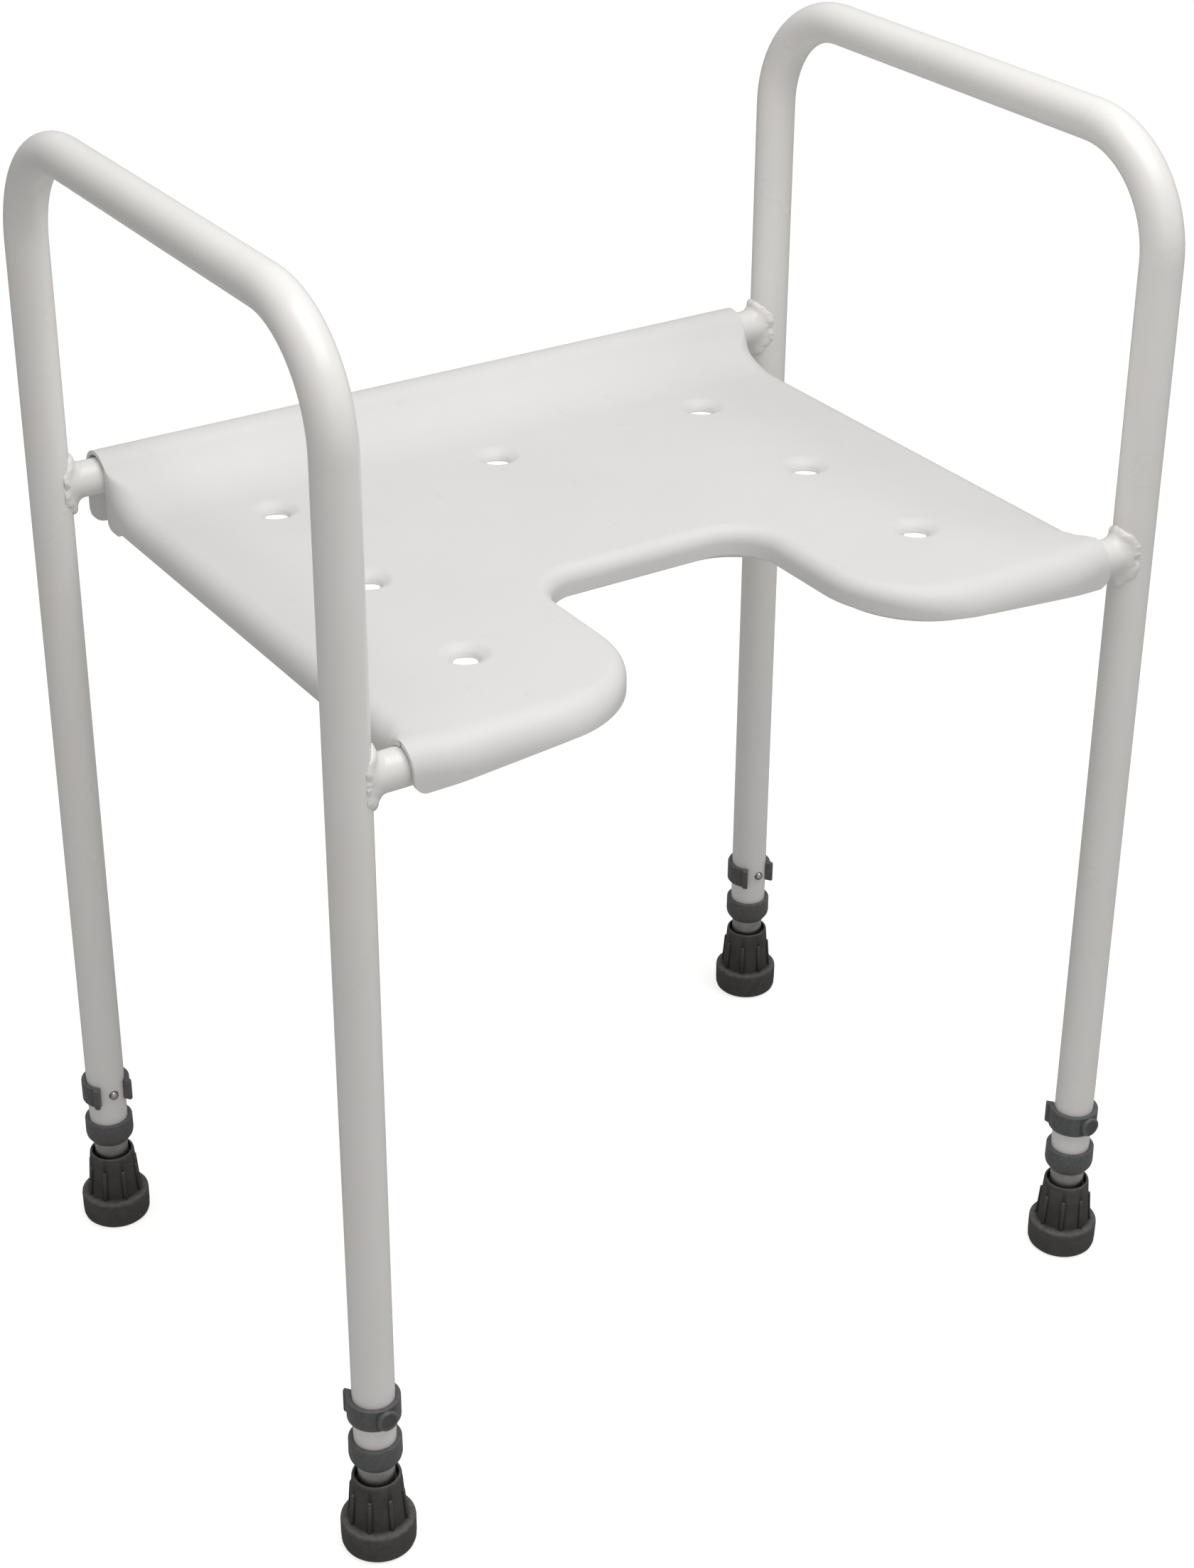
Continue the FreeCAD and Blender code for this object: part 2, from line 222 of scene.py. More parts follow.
def move(bm, matrix):
    """Set a whole shape in its place."""
    bmesh.ops.transform(bm, matrix=matrix, verts=bm.verts)


def loose_object(name, bm):
    """A bmesh as an object, in millimetres still."""
    mesh = bpy.data.meshes.new(name)
    bm.to_mesh(mesh)
    bm.free()
    obj = bpy.data.objects.new(name, mesh)
    bpy.context.scene.collection.objects.link(obj)
    return obj


def combine(bm, tools, operation="DIFFERENCE"):
    """Cut the tools out of a shape, or fuse them to it, one after the other."""
    obj = loose_object("work", bm)
    for tool in tools:
        other = loose_object("tool", tool)
        change = obj.modifiers.new("change", "BOOLEAN")
        change.operation = operation
        change.solver = "EXACT"
        change.object = other
        graph = bpy.context.evaluated_depsgraph_get()
        result = bpy.data.meshes.new_from_object(obj.evaluated_get(graph))
        obj.modifiers.clear()
        obj.data = result
        bpy.data.objects.remove(other)
    out = bmesh.new()
    out.from_mesh(obj.data)
    bpy.data.objects.remove(obj)
    return out


def together(shapes):
    """Several closed shapes as one mesh."""
    whole = bmesh.new()
    for shape in shapes:
        mesh = bpy.data.meshes.new("part")
        shape.to_mesh(mesh)
        shape.free()
        whole.from_mesh(mesh)
        bpy.data.meshes.remove(mesh)
    return whole


def piece(name, bm, body, nodes, material, sharp=38):
    """Finish a shape as a named piece that rides on a body and stands for CAD nodes."""
    bmesh.ops.scale(bm, vec=(MM, MM, MM), verts=bm.verts)
    obj = loose_object(name, bm)
    obj.data.shade_smooth()
    obj.data.set_sharp_from_angle(angle=math.radians(sharp))
    obj.data.materials.append(material)
    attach(obj, body)
    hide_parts(*nodes)


# ---- shared effects ------------------------------------------------------------

def new_group(name, inputs, outputs):
    """A shader node group with (type, name, default) inputs and (type, name) outputs."""
    group = bpy.data.node_groups.new(name, "ShaderNodeTree")
    for kind, label, value in inputs:
        socket = group.interface.new_socket(name=label, in_out="INPUT", socket_type=kind)
        socket.default_value = value
    for kind, label in outputs:
        group.interface.new_socket(name=label, in_out="OUTPUT", socket_type=kind)
    enter = group.nodes.new("NodeGroupInput")
    leave = group.nodes.new("NodeGroupOutput")
    return group, enter, leave


def noise_node(group, place, scale, detail, roughness=0.5):
    """A noise pattern, its scale a number or a socket."""
    node = group.nodes.new("ShaderNodeTexNoise")
    node.inputs["Detail"].default_value = detail
    node.inputs["Roughness"].default_value = roughness
    group.links.new(place, node.inputs["Vector"])
    if isinstance(scale, (int, float)):
        node.inputs["Scale"].default_value = scale
    else:
        group.links.new(scale, node.inputs["Scale"])
    return node


def ranged(group, value, low, high, to_low=0.0, to_high=1.0):
    """A value carried softly from one range to another."""
    node = group.nodes.new("ShaderNodeMapRange")
    node.interpolation_type = "SMOOTHSTEP"
    node.inputs["From Min"].default_value = low
    node.inputs["From Max"].default_value = high
    node.inputs["To Min"].default_value = to_low
    node.inputs["To Max"].default_value = to_high
    group.links.new(value, node.inputs["Value"])
    return node.outputs["Result"]


def maths(group, first, second, operation):
    """One sum on two numbers or sockets."""
    node = group.nodes.new("ShaderNodeMath")
    node.operation = operation
    for socket, value in zip(node.inputs, (first, second)):
        if isinstance(value, (int, float)):
            socket.default_value = value
        else:
            group.links.new(value, socket)
    return node.outputs[0]


def make_surface_grain():
    """Fine pebble of moulded plastic, or the orange peel of paint, by size and softness."""
    group, enter, leave = new_group(
        "surface_grain",
        [("NodeSocketFloat", "Size", 900.0), ("NodeSocketFloat", "Swell", 14.0),
         ("NodeSocketFloat", "Swell Share", 0.5)],
        [("NodeSocketFloat", "Height")])
    place = group.nodes.new("ShaderNodeTexCoord").outputs["Object"]
    fine = noise_node(group, place, enter.outputs["Size"], detail=3.0, roughness=0.55)
    broad = noise_node(group, place, enter.outputs["Swell"], detail=1.0)
    lift = maths(group, broad.outputs[0], enter.outputs["Swell Share"], "MULTIPLY")
    group.links.new(maths(group, fine.outputs[0], lift, "ADD"), leave.inputs["Height"])
    return group


def make_colour_drift():
    """Slow drift between two near colours, and the same drift as a mask."""
    group, enter, leave = new_group(
        "colour_drift",
        [("NodeSocketColor", "Colour", (0.8, 0.8, 0.8, 1)),
         ("NodeSocketColor", "Second Colour", (0.7, 0.7, 0.7, 1)),
         ("NodeSocketFloat", "Size", 30.0)],
        [("NodeSocketColor", "Colour"), ("NodeSocketFloat", "Mask")])
    place = group.nodes.new("ShaderNodeTexCoord").outputs["Object"]
    cloud = noise_node(group, place, enter.outputs["Size"], detail=4.0, roughness=0.6)
    mask = ranged(group, cloud.outputs[0], low=0.32, high=0.68)
    blend = group.nodes.new("ShaderNodeMix")
    blend.data_type = "RGBA"
    group.links.new(mask, blend.inputs["Factor"])
    group.links.new(enter.outputs["Colour"], blend.inputs[6])
    group.links.new(enter.outputs["Second Colour"], blend.inputs[7])
    group.links.new(blend.outputs[2], leave.inputs["Colour"])
    group.links.new(mask, leave.inputs["Mask"])
    return group


def make_rub_marks():
    """Sparse short rub marks, longer along one direction, as a mask."""
    group, enter, leave = new_group(
        "rub_marks",
        [("NodeSocketVector", "Stretch", (1.0, 1.0, 1.0)), ("NodeSocketFloat", "Size", 60.0),
         ("NodeSocketFloat", "Amount", 0.3)],
        [("NodeSocketFloat", "Mask")])
    place = group.nodes.new("ShaderNodeTexCoord").outputs["Object"]
    spread = group.nodes.new("ShaderNodeVectorMath")
    spread.operation = "MULTIPLY"
    group.links.new(place, spread.inputs[0])
    group.links.new(enter.outputs["Stretch"], spread.inputs[1])
    streak = noise_node(group, spread.outputs[0], enter.outputs["Size"], detail=6.0, roughness=0.7)
    where = noise_node(group, place, scale=48.0, detail=2.0)
    lines = ranged(group, streak.outputs[0], low=0.60, high=0.68)
    patch = ranged(group, where.outputs[0], low=0.50, high=0.62)
    mask = maths(group, lines, patch, "MULTIPLY")
    mask = maths(group, mask, enter.outputs["Amount"], "MULTIPLY")
    group.links.new(mask, leave.inputs["Mask"])
    return group


def make_wear_and_light():
    """Masks for raised edges, for hollows as painted shade and for upward faces as dust and painted
    top light, broken by noise.
    """
    group, enter, leave = new_group(
        "edge_wear_and_painted_light",
        [("NodeSocketFloat", "Reach", 0.06), ("NodeSocketFloat", "Break Up", 220.0)],
        [("NodeSocketFloat", "Mask"), ("NodeSocketFloat", "Hollow"), ("NodeSocketFloat", "Upper")])
    point = group.nodes.new("ShaderNodeNewGeometry").outputs["Pointiness"]
    place = group.nodes.new("ShaderNodeTexCoord").outputs["Object"]
    rough = noise_node(group, place, enter.outputs["Break Up"], detail=3.0)
    level_ground = 0.5
    raised = maths(group, point, level_ground, "SUBTRACT")
    raised = maths(group, raised, enter.outputs["Reach"], "DIVIDE")
    patchy = ranged(group, rough.outputs[0], low=0.3, high=0.7, to_low=0.45)
    broken = maths(group, raised, patchy, "MULTIPLY")
    clamp = group.nodes.new("ShaderNodeClamp")
    group.links.new(broken, clamp.inputs["Value"])
    group.links.new(clamp.outputs[0], leave.inputs["Mask"])
    # Hollow: the opposite of raised, a painted shade mask that darkens concave spots where shade
    # falls
    sunk = group.nodes.new("ShaderNodeClamp")
    group.links.new(maths(group, raised, -1.0, "MULTIPLY"), sunk.inputs["Value"])
    group.links.new(sunk.outputs[0], leave.inputs["Hollow"])
    # Upper: faces that look up, a mask for dust and painted top light
    facing = group.nodes.new("ShaderNodeTexCoord").outputs["Normal"]
    split = group.nodes.new("ShaderNodeSeparateXYZ")
    group.links.new(facing, split.inputs[0])
    upper = ranged(group, split.outputs["Z"], low=0.35, high=0.95)
    top_breakup = ranged(group, rough.outputs[0], low=0.3, high=0.7, to_low=0.55)
    dust_and_top_light = maths(group, upper, top_breakup, "MULTIPLY")
    group.links.new(dust_and_top_light, leave.inputs["Upper"])
    return group


GRAIN = make_surface_grain()
DRIFT = make_colour_drift()
MARKS = make_rub_marks()
WEAR_AND_LIGHT = make_wear_and_light()


# ---- finishes ------------------------------------------------------------------

class Finish:
    """One material: a Principled shader and the shared effects that feed it."""

    def __init__(self, name, metallic=0.0, specular=0.5, coat=0.0):
        self.material = bpy.data.materials.new(name)
        self.material.use_nodes = True
        self.tree = self.material.node_tree
        self.shader = next(n for n in self.tree.nodes if n.type == "BSDF_PRINCIPLED")
        self.shader.inputs["Metallic"].default_value = metallic
        self.shader.inputs["Specular IOR Level"].default_value = specular
        self.shader.inputs["Coat Weight"].default_value = coat

    def effect(self, group, **values):
        """A shared effect with this material's own values."""
        node = self.tree.nodes.new("ShaderNodeGroup")
        node.node_tree = group
        for label, value in values.items():
            node.inputs[label.replace("_", " ")].default_value = value
        return node

    def mixed(self, mask, first, second):
        """Colour that goes from first to second where the mask is 1."""
        node = self.tree.nodes.new("ShaderNodeMix")
        node.data_type = "RGBA"
        self.tree.links.new(mask, node.inputs["Factor"])
        for socket, value in ((node.inputs[6], first), (node.inputs[7], second)):
            if isinstance(value, tuple):
                socket.default_value = value
            else:
                self.tree.links.new(value, socket)
        return node.outputs[2]

    def colour(self, socket):
        """Feed the base colour."""
        self.tree.links.new(socket, self.shader.inputs["Base Color"])

    def roughness(self, mask, low, high):
        """Let the roughness wander between two values."""
        node = self.tree.nodes.new("ShaderNodeMapRange")
        node.inputs["To Min"].default_value = low
        node.inputs["To Max"].default_value = high
        self.tree.links.new(mask, node.inputs["Value"])
        self.tree.links.new(node.outputs["Result"], self.shader.inputs["Roughness"])

    def bump(self, height, distance, strength):
        """Lift the surface by a height, over a distance in metres."""
        node = self.tree.nodes.new("ShaderNodeBump")
        node.inputs["Strength"].default_value = strength
        node.inputs["Distance"].default_value = distance
        self.tree.links.new(height, node.inputs["Height"])
        self.tree.links.new(node.outputs["Normal"], self.shader.inputs["Normal"])


def powder_coat():
    """Glossy white powder paint: faint orange peel, slow warm drift, a few dull rubs."""
    f = Finish("white_powder_coat", specular=0.5)
    drift = f.effect(DRIFT, Colour=(0.905, 0.888, 0.872, 1), Second_Colour=(0.880, 0.862, 0.845, 1),
                     Size=9.0)
    rubs = f.effect(MARKS, Stretch=(1.0, 1.0, 0.5), Size=700.0, Amount=0.05)
    rubbed_grey = (0.70, 0.68, 0.66, 1)
    f.colour(f.mixed(rubs.outputs["Mask"], drift.outputs["Colour"], rubbed_grey))
    f.roughness(drift.outputs["Mask"], low=0.24, high=0.29)
    peel = f.effect(GRAIN, Size=500.0, Swell=130.0, Swell_Share=0.3)
    f.bump(peel.outputs["Height"], distance=0.00004, strength=0.05)
    return f.material


def seat_plastic():
    """Moulded white plastic: satin, fine pebble, gentle sink and a few faint scuffs."""
    f = Finish("white_moulded_plastic", specular=0.42)
    drift = f.effect(DRIFT, Colour=(0.800, 0.796, 0.785, 1), Second_Colour=(0.775, 0.770, 0.758, 1),
                     Size=6.0)
    scuffs = f.effect(MARKS, Stretch=(1.0, 0.35, 1.0), Size=90.0, Amount=0.30)
    scuff_grey = (0.66, 0.65, 0.63, 1)
    f.colour(f.mixed(scuffs.outputs["Mask"], drift.outputs["Colour"], scuff_grey))
    f.roughness(drift.outputs["Mask"], low=0.46, high=0.54)
    pebble = f.effect(GRAIN, Size=1100.0, Swell=16.0, Swell_Share=2.4)
    f.bump(pebble.outputs["Height"], distance=0.00018, strength=0.5)
    return f.material


def clip_plastic():
    """Cool dark grey clip plastic with paler rubbed edges, and upward faces painted paler with dust
    and painted top light.
    """
    f = Finish("grey_clip_plastic", specular=0.45)
    drift = f.effect(DRIFT, Colour=(0.060, 0.063, 0.066, 1), Second_Colour=(0.078, 0.081, 0.084, 1),
                     Size=120.0)
    wear_and_light_masks = f.effect(WEAR_AND_LIGHT, Reach=0.05, Break_Up=400.0)
    pale_edge, pale_dust_and_top_light = (0.150, 0.155, 0.160, 1), (0.150, 0.153, 0.156, 1)
    rubbed = f.mixed(wear_and_light_masks.outputs["Mask"], drift.outputs["Colour"], pale_edge)
    # upward faces paler: dust and painted top light
    f.colour(f.mixed(wear_and_light_masks.outputs["Upper"], rubbed, pale_dust_and_top_light))
    f.roughness(drift.outputs["Mask"], low=0.42, high=0.58)
    grain = f.effect(GRAIN, Size=1800.0, Swell=220.0, Swell_Share=0.8)
    f.bump(grain.outputs["Height"], distance=0.00012, strength=0.5)
    return f.material


def foot_rubber():
    """Dark warm grey rubber, scuffed and dusty on its edges, paler on upward faces with dust and
    painted top light, and darker in the hollows with painted shade.
    """
    f = Finish("grey_foot_rubber", specular=0.28)
    drift = f.effect(DRIFT, Colour=(0.048, 0.043, 0.040, 1), Second_Colour=(0.070, 0.064, 0.060, 1),
                     Size=90.0)
    wear_and_light_masks = f.effect(WEAR_AND_LIGHT, Reach=0.07, Break_Up=300.0)
    scuffs = f.effect(MARKS, Stretch=(1.0, 1.0, 2.6), Size=120.0, Amount=0.85)
    pale_edge, pale_dust_and_top_light = (0.150, 0.144, 0.138, 1), (0.165, 0.158, 0.150, 1)
    # painted shade: a near black for the hollows, where shade falls
    painted_hollow_shade, dark_scuff = (0.010, 0.009, 0.009, 1), (0.010, 0.009, 0.008, 1)
    rubbed = f.mixed(wear_and_light_masks.outputs["Mask"], drift.outputs["Colour"], pale_edge)
    # upward faces paler: dust and painted top light
    topped = f.mixed(wear_and_light_masks.outputs["Upper"], rubbed, pale_dust_and_top_light)
    sunk = f.mixed(wear_and_light_masks.outputs["Hollow"], topped, painted_hollow_shade)
    f.colour(f.mixed(scuffs.outputs["Mask"], sunk, dark_scuff))
    f.roughness(drift.outputs["Mask"], low=0.58, high=0.80)
    grain = f.effect(GRAIN, Size=1500.0, Swell=180.0, Swell_Share=1.2)
    f.bump(grain.outputs["Height"], distance=0.00022, strength=0.6)
    return f.material


def inner_tube_metal():
    """Dull aluminium with fine lines along the tube and grey handling marks."""
    f = Finish("dull_aluminium", metallic=1.0)
    drift = f.effect(DRIFT, Colour=(0.46, 0.455, 0.45, 1), Second_Colour=(0.36, 0.355, 0.35, 1),
                     Size=80.0)
    lines = f.effect(MARKS, Stretch=(1.0, 1.0, 0.03), Size=900.0, Amount=1.0)
    line_grey = (0.25, 0.245, 0.24, 1)
    f.colour(f.mixed(lines.outputs["Mask"], drift.outputs["Colour"], line_grey))
    f.roughness(drift.outputs["Mask"], low=0.36, high=0.52)
    f.bump(lines.outputs["Mask"], distance=0.00004, strength=0.4)
    return f.material


def pin_metal():
    """Bright steel with fine turning marks and a painted dark rim of shade where it turns away from
    the eye.
    """
    f = Finish("bright_steel", metallic=1.0)
    drift = f.effect(DRIFT, Colour=(0.62, 0.62, 0.63, 1), Second_Colour=(0.50, 0.50, 0.51, 1),
                     Size=300.0)
    # painted shade: the colour darkens towards the edges that turn away from the eye
    rim = f.tree.nodes.new("ShaderNodeLayerWeight")
    rim.inputs["Blend"].default_value = 0.45
    painted_rim_shade = (0.035, 0.035, 0.035, 1)
    f.colour(f.mixed(rim.outputs["Facing"], drift.outputs["Colour"], painted_rim_shade))
    f.roughness(drift.outputs["Mask"], low=0.16, high=0.30)
    grain = f.effect(GRAIN, Size=3000.0, Swell=500.0, Swell_Share=0.5)
    f.bump(grain.outputs["Height"], distance=0.00002, strength=0.5)
    return f.material


PAINT = powder_coat()
SEAT_WHITE = seat_plastic()
CLIP_GREY = clip_plastic()
RUBBER = foot_rubber()
ALUMINIUM = inner_tube_metal()
STEEL = pin_metal()


# ---- side frames and cross tubes -----------------------------------------------

def side_frame(side):
    """One bent tube: up a leg, over the arm and down the other leg, with its pin holes."""
    name = "left" if side < 0 else "right"
    front, rear = leg_spot("front_" + name), leg_spot("rear_" + name)
    low, high = box_mm("side_frame_" + name)
    top = high.z - LEG_R - BEND_R
    pin_z = pin_height("front_" + name)
    half_leg = (top - pin_z - HOLE_MARGIN) * 0.5
    steps = [pin_z - HOLE_MARGIN - low.z, 2 * HOLE_MARGIN, half_leg, half_leg]
    moves = [Z * s for s in steps]
    moves.append(((front.x, front.y + BEND_R, top), X, -90, BEND_STEPS))
    moves.append(Y * (rear.y - front.y - 2 * BEND_R))
    moves.append(((front.x, rear.y - BEND_R, top), X, -90, BEND_STEPS))
    moves += [Z * -s for s in reversed(steps)]
    start = Vector((front.x, front.y, low.z))
    tube = pipe((LEG_R, LEG_R - LEG_WALL), start, Z, moves)
    tube = combine(tube, [drill(spot, pin_z) for spot in (front, rear)])
    piece("painted_side_frame_" + name, tube, "frame", ["side_frame_" + name],
          PAINT)


def leg_bars(end):
    """Solid bars in place of the two legs of one end, to cope the cross tube's ends."""
    low, high = (Z * height for height in COPE_BAR_Z)
    spots = [leg_spot(end + "_" + side) for side in ("left", "right")]
    return [rod(LEG_R - COPE_GAP, spot + low, spot + high, ROUND) for spot in spots]


def rear_tube():
    """Straight from leg to leg."""
    low, high = box_mm("rear_cross_tube")
    spot = leg_spot("rear_left")
    start = Vector((spot.x + COPE_START, spot.y, (low.z + high.z) / 2))
    quarter = X * (-start.x / 2)
    tube = pipe((CROSS_R, CROSS_R - CROSS_WALL), start, X, [quarter] * 4)
    tube = combine(tube, leg_bars("rear"))
    piece("painted_rear_tube", tube, "frame", ["rear_cross_tube"], PAINT)


def front_tube():
    """Straight from each leg, then round the cut-out in the seat."""
    spot = leg_spot("front_left")
    z = box_mm("front_cross_tube")[0].z + CROSS_R
    lobe_x, lobe_y = CUT_X + LOBE_R, box_mm("seat")[0].y + LOBE_R
    corner_x, corner_y = CUT_X - CUT_CORNER_R, CUT_BACK_Y - CUT_CORNER_R
    start = Vector((spot.x + COPE_START, spot.y, z))
    before_bend = 30
    straight = X * (-lobe_x - start.x - before_bend)
    run = Y * (corner_y - lobe_y)
    moves = [
        straight,
        X * before_bend,
        ((-lobe_x, lobe_y, z), Z, 90, CROSS_BEND_STEPS),
        run,
        ((-corner_x, corner_y, z), Z, -90, CROSS_BEND_STEPS),
        X * (2 * corner_x),
        ((corner_x, corner_y, z), Z, -90, CROSS_BEND_STEPS),
        -run,
        ((lobe_x, lobe_y, z), Z, 90, CROSS_BEND_STEPS),
        X * before_bend,
        straight,
    ]
    tube = pipe((CROSS_R, CROSS_R - CROSS_WALL), start, X, moves)
    tube = combine(tube, leg_bars("front"))
    piece("painted_front_tube", tube, "frame", ["front_cross_tube"], PAINT)


# ---- welds ---------------------------------------------------------------------

# one weld's section: distance from the leg's surface, then distance from the tube's axis
WELD_SECTION = (
    (8.0, 11.02), (6.4, 11.35), (5.0, 11.9), (3.9, 12.7), (3.2, 13.6), (3.0, 14.5), (2.9, 15.4),
    (2.4, 16.2), (1.6, 16.8), (0.6, 17.0), (-0.5, 16.9), (-0.5, 14.0), (-0.5, 11.0), (3.5, 10.9),
)
WELD_R = 17.0              # the section's own widest reach
WELD_STEPS = 144
WELD_SIDE_R = 11.6         # reach on the leg's sides, where the leg falls away
WELD_RISE, WELD_RISE_POWER = 6.6, 1.3
WELD_DRIP, WELD_DRIP_POWER = 2.6, 9
BIG_LUMPS, SMALL_LUMPS = (0.22, 1.3), (0.7, 0.5)       # how fine, how high
LUMPS_OUT = 0.25


def weld_reach(around):
    """How far the fillet spreads on the leg: most above and below, with a drip under it."""
    rise = math.sin(around)
    reach = WELD_SIDE_R + WELD_RISE * abs(rise) ** WELD_RISE_POWER
    return reach + WELD_DRIP * max(0.0, -rise) ** WELD_DRIP_POWER


def lumps(spot, seed):
    """Height of a weld's own bumps at a spot."""
    big = noise.noise(spot * BIG_LUMPS[0] + seed) * BIG_LUMPS[1]
    return big + noise.noise(spot * SMALL_LUMPS[0] + seed * 2) * SMALL_LUMPS[1]


def weld(corner):
    """Lumpy fillet that flares from a cross tube on to the leg, with a drip underneath."""
    side, end = CORNERS[corner]
    spot = leg_spot(corner)
    tube = "rear_cross_tube" if end > 0 else "front_cross_tube"
    bm = bmesh.new()
    verts = [bm.verts.new((-out, reach, 0)) for out, reach in WELD_SECTION]
    edges = [bm.edges.new(pair) for pair in zip(verts, verts[1:] + verts[:1])]
    bmesh.ops.spin(bm, geom=verts + edges, cent=(0, 0, 0), axis=X, angle=math.tau,
                   steps=WELD_STEPS, use_merge=True, use_duplicate=False)
    seed = Vector((side * 31.0, end * 17.0, 5.0))
    for v in bm.verts:
        out, reach = -v.co.x, v.co.yz.length
        around = math.atan2(v.co.z, v.co.y)
        share = max(reach - CROSS_R, 0.0) / (WELD_R - CROSS_R)
        lump = lumps(v.co, seed)
        reach = min(reach, CROSS_R) + share * (weld_reach(around) - CROSS_R + lump)
        y, up = reach * math.cos(around), reach * math.sin(around)
        saddle = LEG_R - math.sqrt(LEG_R ** 2 - min(abs(y), WELD_SIDE_R) ** 2)
        v.co = Vector((saddle - out * (1 + LUMPS_OUT * lump * share), y, up))
    axis_z = box_mm(tube)[0].z + CROSS_R
    place = Matrix.Translation((spot.x - side * LEG_R, spot.y, axis_z))
    if side < 0:
        place = place @ Matrix.Scale(-1, 4, X)
    move(bm, place)
    bmesh.ops.recalc_face_normals(bm, faces=bm.faces)
    piece("weld_fillet_" + corner, bm, "frame", ["weld_" + corner], PAINT,
          sharp=60)


# ---- seat ----------------------------------------------------------------------

ARC = [math.radians(9 * i) for i in range(11)]         # a quarter turn, in eleven points
LOBE_STEPS, CUT_STEPS, CUT_SIDE_STEPS = 24, 16, 5
SWEEP_STEPS, ROLL_STEPS = 30, 18

# columns of points in from a side, and the same columns where the front is drawn
END_WIDTH = 16.0
END_COLUMNS = (0.0, 0.9, 2.2, 4.0, 6.3, 9.4, END_WIDTH)
# how the top drops at its ends above the front tube, at three shares of the way back
DROP_SHARES, END_DROPS = (0.3, 0.6, 1.0), (2.2, 4.2, 9.0)
LAST_DROP = END_DROPS[-1]
FRONT_COLUMNS = [LAST_DROP * (1 - math.cos(a)) for a in ARC]
FRONT_COLUMNS += [LAST_DROP + (END_WIDTH - LAST_DROP) * c / END_WIDTH for c in END_COLUMNS[1:]]
COLUMN_START, COLUMN_PITCH, COLUMN_STOP = 8, 9, 4
CUT_BACK_COLUMNS = (35.0, 23.0, 11.0)

# the front near its ends: from where it changes, how far it swells, sinks and droops
END_FROM, END_SWELL, END_SINK = 203, 1.0, 2.5
DROOP_FROM, DROOP_RUN, DROOP = 140, 88, 7.3
CUT_BLEND = 75             # the front's rounding becomes the cut-out's over this distance
CUT_FLAT, FRONT_REACH = 12.0, 31.0

# stations from front to back
FRONT_STATIONS, FRONT_PITCH, FLAT_STATIONS = 10, 1.6, 56
SLOT_MARGIN, DISH_MARGIN = 1.2, 3.0
FADE_FRONT_Y, FADE_FRONT_RUN = -174, 10
FADE_BACK_Y, FADE_BACK_RUN = 175, 17
RIM_STEP, RIM_STEP_RUN, RIM_FRONT_Y, RIM_BACK_Y = 3.0, 4, -153, 157
REAR_DROOP_FROM, REAR_DROOP_RUN = 60, 130
WELD_ON = 0.01             # seams closer than this are joined

# one drain's dish: radius, then depth under the flat
DISH = (
    (15.3, -0.03), (14.4, -0.16), (13.4, -0.45), (12.3, -0.95), (11.2, -1.65), (10.1, -2.40),
    (9.2, -3.05), (8.6, -3.65), (8.1, -4.40), (7.55, -5.25), (7.0, -6.10),
)


def edge_drop(radius, inset):
    """Drop of a rounded edge at a distance in from the end."""
    if inset >= radius:
        return 0.0
    return radius - math.sqrt(radius ** 2 - (radius - inset) ** 2)


def front_outline():
    """Sections of points along the front and the cut-out, from left to right."""
    low, high = box_mm("seat")
    half, front = high.x, low.y
    lobe = Vector((CUT_X + LOBE_R, front + LOBE_R))
    inner = Vector((CUT_X - CUT_CORNER_R, CUT_BACK_Y - CUT_CORNER_R))
    straight = [half - d for d in FRONT_COLUMNS]
    x = straight[-1] - COLUMN_START
    while x > lobe.x + COLUMN_STOP:
        straight.append(x)
        x -= COLUMN_PITCH
    forward = Vector((0, -1))
    left = [(Vector((-x, front)), forward) for x in straight]
    for i in range(LOBE_STEPS + 1):
        a = math.radians(270 + 90 * i / LOBE_STEPS)
        way = Vector((math.cos(a), math.sin(a)))
        left.append((Vector((-lobe.x, lobe.y)) + way * LOBE_R, way))
    for i in range(1, CUT_SIDE_STEPS):
        y = lobe.y + (inner.y - lobe.y) * i / CUT_SIDE_STEPS
        left.append((Vector((-CUT_X, y)), Vector((1, 0))))
    for i in range(CUT_STEPS + 1):
        a = math.radians(180 - 90 * i / CUT_STEPS)
        way = Vector((math.cos(a), math.sin(a)))
        left.append((Vector((-inner.x, inner.y)) + way * CUT_CORNER_R, -way))
    left += [(Vector((-x, CUT_BACK_Y)), forward) for x in CUT_BACK_COLUMNS]
    middle = [(Vector((0, CUT_BACK_Y)), forward)]
    right = [(Vector((-p.x, p.y)), Vector((-w.x, w.y))) for p, w in reversed(left)]
    return [front_section(spot, way, half, lobe) for spot, way in left + middle + right]


